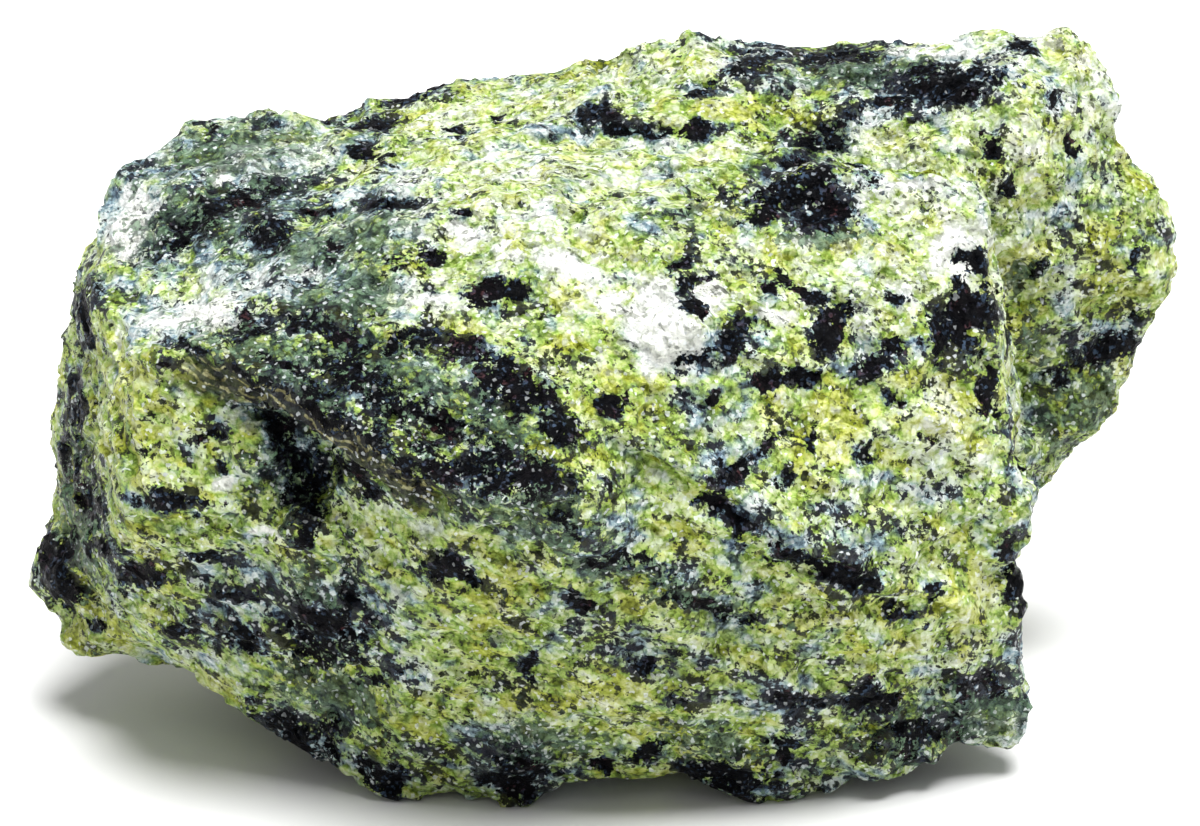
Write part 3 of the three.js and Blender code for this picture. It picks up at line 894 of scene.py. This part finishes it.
def with_specks(nodes, rock, base):
    """Dark grains in clusters, tiny specks, dark streaks along the sheets, and dark translucent green."""
    speck_shade = nodes.blend(rock.hue, 0.3, 0.7, SPECK_BLUE, SPECK_OLIVE)
    speck_shade = nodes.blend(rock.sugar, 0.50, 0.85, speck_shade, SPECK_WORN)
    cloud = nodes.noise(rock.sheets, size=3.2, detail=4, roughness=0.65)
    speck = nodes.total(
        0.0,
        (cloud, 0.9),
        (nodes.noise(rock.mm, size=0.8, detail=4, roughness=0.7), 0.9),
        (rock.small_grain.random[1], 0.14),
        (rock.tiny_grain.random[1], 0.06),
        (rock.pale, -0.08),
        (rock.shade, 0.04),
        (rock.white, -0.12),
        (rock.wide_gap, 0.07),
        (rock.cool, 0.08),
        (nodes.between(nodes.attribute("black"), -1.2, 0.2), 0.13),
    )
    base = nodes.blend(speck, 1.145, 1.17, base, speck_shade)

    tiny = nodes.total(rock.tiny_grain.random[2], (rock.halo, 0.06), (cloud, 0.55), (rock.white, -0.12))
    tiny_shade = nodes.blend(rock.hue, 0.3, 0.7, TINY_SPECK_BLUE, TINY_SPECK_OLIVE)
    base = nodes.blend(tiny, 1.195, 1.225, base, tiny_shade, most=0.85)

    streak = nodes.total(nodes.noise(rock.thin_sheets, size=1.5, detail=5, roughness=0.75), (cloud, 0.5))
    base = nodes.blend(streak, 0.86, 0.90, base, speck_shade, most=0.8)

    green_shade = nodes.blend(rock.sugar, 0.25, 0.85, GREEN_DARK, GREEN_LIGHT)
    return nodes.blend(rock.green_depth, 0.0, 0.4, base, green_shade, most=0.85)


def with_shelf_layers_and_shade(nodes, rock, base):
    """Thin dark layers with broken pale brown lines between them, which show in the edge of the shelf. The
    dark is partly painted shade under the shelf's edge, and the lines partly painted light on the layers'
    edges.
    """
    side = nodes.attribute("shelf_side")
    layer = nodes.total(side, (nodes.swing(rock.coarse_sugar), 0.5), (nodes.swing(rock.broad), 1.2))
    phase = nodes.math("FRACT", nodes.math("MULTIPLY", layer, 1.4))
    line = nodes.between(nodes.math("ABSOLUTE", nodes.swing(phase)), 0.22, 0.12)
    line = nodes.math("MULTIPLY", line, nodes.between(rock.ragged, 0.44, 0.50))
    layer_shade = nodes.blend(rock.sugar, 0.5, 0.9, LAYER_DARK, LAYER_LIGHT)
    line_shade = nodes.blend(rock.sugar, 0.3, 0.8, LINE_DARK, LINE_LIGHT)
    in_layers = nodes.math("MULTIPLY", nodes.between(layer, -0.2, 0.0), nodes.between(layer, 2.6, 2.0))
    in_layers = nodes.math("MULTIPLY", in_layers, nodes.between(nodes.attribute("shelf_near"), 0.2, 0.6))
    return nodes.mix(nodes.math("MULTIPLY", in_layers, 0.92), base, nodes.mix(line, layer_shade, line_shade))


def with_black(nodes, rock, base):
    """Black crystals, with blue-grey and reddish brown flecks, and tiny painted glints: white dots for light
    caught on broken faces.
    """
    fleck = nodes.total(rock.tiny_grain.random[1], (nodes.swing(rock.coarse_sugar), 1.4))
    black_shade = nodes.blend(fleck, 0.82, 1.08, BLACK, BLACK_FLECK)
    brown_shade = nodes.blend(fleck, 0.80, 1.08, BROWN, BROWN_FLECK)
    cloud = nodes.noise(rock.mm, size=2.4, detail=3, roughness=0.6)
    crystal_shade = nodes.blend(cloud, 0.48, 0.66, black_shade, brown_shade)
    base = nodes.mix(rock.black, base, crystal_shade)
    # Painted glints: tiny white dots in the colour, fewer on the black.
    painted_glint = nodes.between(nodes.total(rock.tiny_grain.random[0], (rock.black, -0.035)), 0.935, 0.965)
    return nodes.mix(nodes.math("MULTIPLY", painted_glint, nodes.total(0.6, (rock.black, -0.3))), base, PAINTED_GLINT)


def grain_relief(nodes, rock):
    """The relief of the grains, too fine for the mesh: small broken faces that each lean their own way."""
    height = nodes.noise(rock.mm, size=0.7, detail=5, roughness=0.8)
    bumps = {"Height": height, "Strength": 1.0, "Distance": BUMP_DEPTH}
    normal = nodes.add("ShaderNodeBump", bumps).outputs["Normal"]
    for cells, lean in ((rock.grain, 0.35), (rock.small_grain, 0.7), (rock.tiny_grain, 0.45)):
        normal = nodes.vector("MULTIPLY_ADD", nodes.vector("SUBTRACT", cells.colour, 0.5), lean, normal)
    return nodes.vector("NORMALIZE", normal)


def rock_material():
    material = bpy.data.materials.new("serpentine")
    material.use_nodes = True
    material.node_tree.nodes.clear()
    nodes = Nodes(material.node_tree)
    rock = rock_fields(nodes)
    add_dark_fields(nodes, rock)
    add_tone_and_hue(nodes, rock)
    base = grain_colours(nodes, rock)
    base = with_specks(nodes, rock, base)
    base = with_shelf_layers_and_shade(nodes, rock, base)
    base = with_black(nodes, rock, base)
    looks = {
        "Base Color": base,
        "Roughness": nodes.total(0.25, (rock.small_grain.random[1], 0.30), (rock.black, -0.05)),
        "Normal": grain_relief(nodes, rock),
        "Specular IOR Level": nodes.total(0.33, (rock.black, -0.24)),
    }
    shader = nodes.add("ShaderNodeBsdfPrincipled", looks)
    nodes.add("ShaderNodeOutputMaterial", {"Surface": shader.outputs[0]})
    return material


def make_rock():
    mesh = even_mesh(packed_mesh(), smoothing=3)
    displace(mesh, broad_forms(mesh))
    mesh = even_mesh(mesh, smoothing=1)
    displace(mesh, fine_forms(vertex_array(mesh, "co") / MM))
    mesh = thinned(mesh)
    mesh.name = "serpentine_rock_surface"
    place_minerals(mesh)
    mesh.shade_flat()
    mesh.materials.clear()
    mesh.materials.append(rock_material())
    rock = bpy.data.objects.new("serpentine_rock_surface", mesh)
    bpy.context.scene.collection.objects.link(rock)
    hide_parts("serpentine_rock")
    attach(rock, "root")


# ----------------------------------------------------------------------------------------------------------
# The studio.
FLOOR_HALF = 3.0
FLOOR_COLOUR = colour(232, 232, 232)
FLOOR_ROUGHNESS = 0.8
SKY_STRENGTH = 0.42
SUN_STRENGTH = 6.0
SUN_ANGLE = math.radians(35)
TO_SUN = Vector((0.10, -0.16, 1.0))


def floor_material():
    material = bpy.data.materials.new("floor")
    material.use_nodes = True
    shader = material.node_tree.nodes["Principled BSDF"]
    shader.inputs["Base Color"].default_value = FLOOR_COLOUR
    shader.inputs["Roughness"].default_value = FLOOR_ROUGHNESS
    return material


def make_floor():
    mesh = bpy.data.meshes.new("floor")
    corners = [(x * FLOOR_HALF, y * FLOOR_HALF, 0) for x, y in ((-1, -1), (1, -1), (1, 1), (-1, 1))]
    mesh.from_pydata(corners, [], [(0, 1, 2, 3)])
    mesh.materials.append(floor_material())
    floor = bpy.data.objects.new("floor", mesh)
    bpy.context.scene.collection.objects.link(floor)


def make_lights():
    world = bpy.data.worlds.new("studio")
    world.use_nodes = True
    background = world.node_tree.nodes["Background"]
    background.inputs["Color"].default_value = (1, 1, 1, 1)
    background.inputs["Strength"].default_value = SKY_STRENGTH
    bpy.context.scene.world = world
    data = bpy.data.lights.new("softbox", "SUN")
    data.energy = SUN_STRENGTH
    data.angle = SUN_ANGLE
    sun = bpy.data.objects.new("softbox", data)
    sun.rotation_mode = "QUATERNION"
    sun.rotation_quaternion = TO_SUN.to_track_quat("Z", "Y")
    bpy.context.scene.collection.objects.link(sun)


def make_camera():
    eye, right, up, back = camera_axes()
    data = bpy.data.cameras.new("camera")
    data.sensor_width = SENSOR_WIDTH_MM
    data.lens = FOCAL_PIXELS / PICTURE_WIDTH * SENSOR_WIDTH_MM
    data.clip_start = NEAREST_SEEN
    camera = bpy.data.objects.new("camera", data)
    camera.matrix_world = Matrix.Translation(eye) @ Matrix((right, up, back)).transposed().to_4x4()
    bpy.context.scene.collection.objects.link(camera)
    bpy.context.scene.camera = camera


make_rock()
make_floor()
make_lights()
make_camera()
bpy.context.scene.view_settings.view_transform = "Standard"
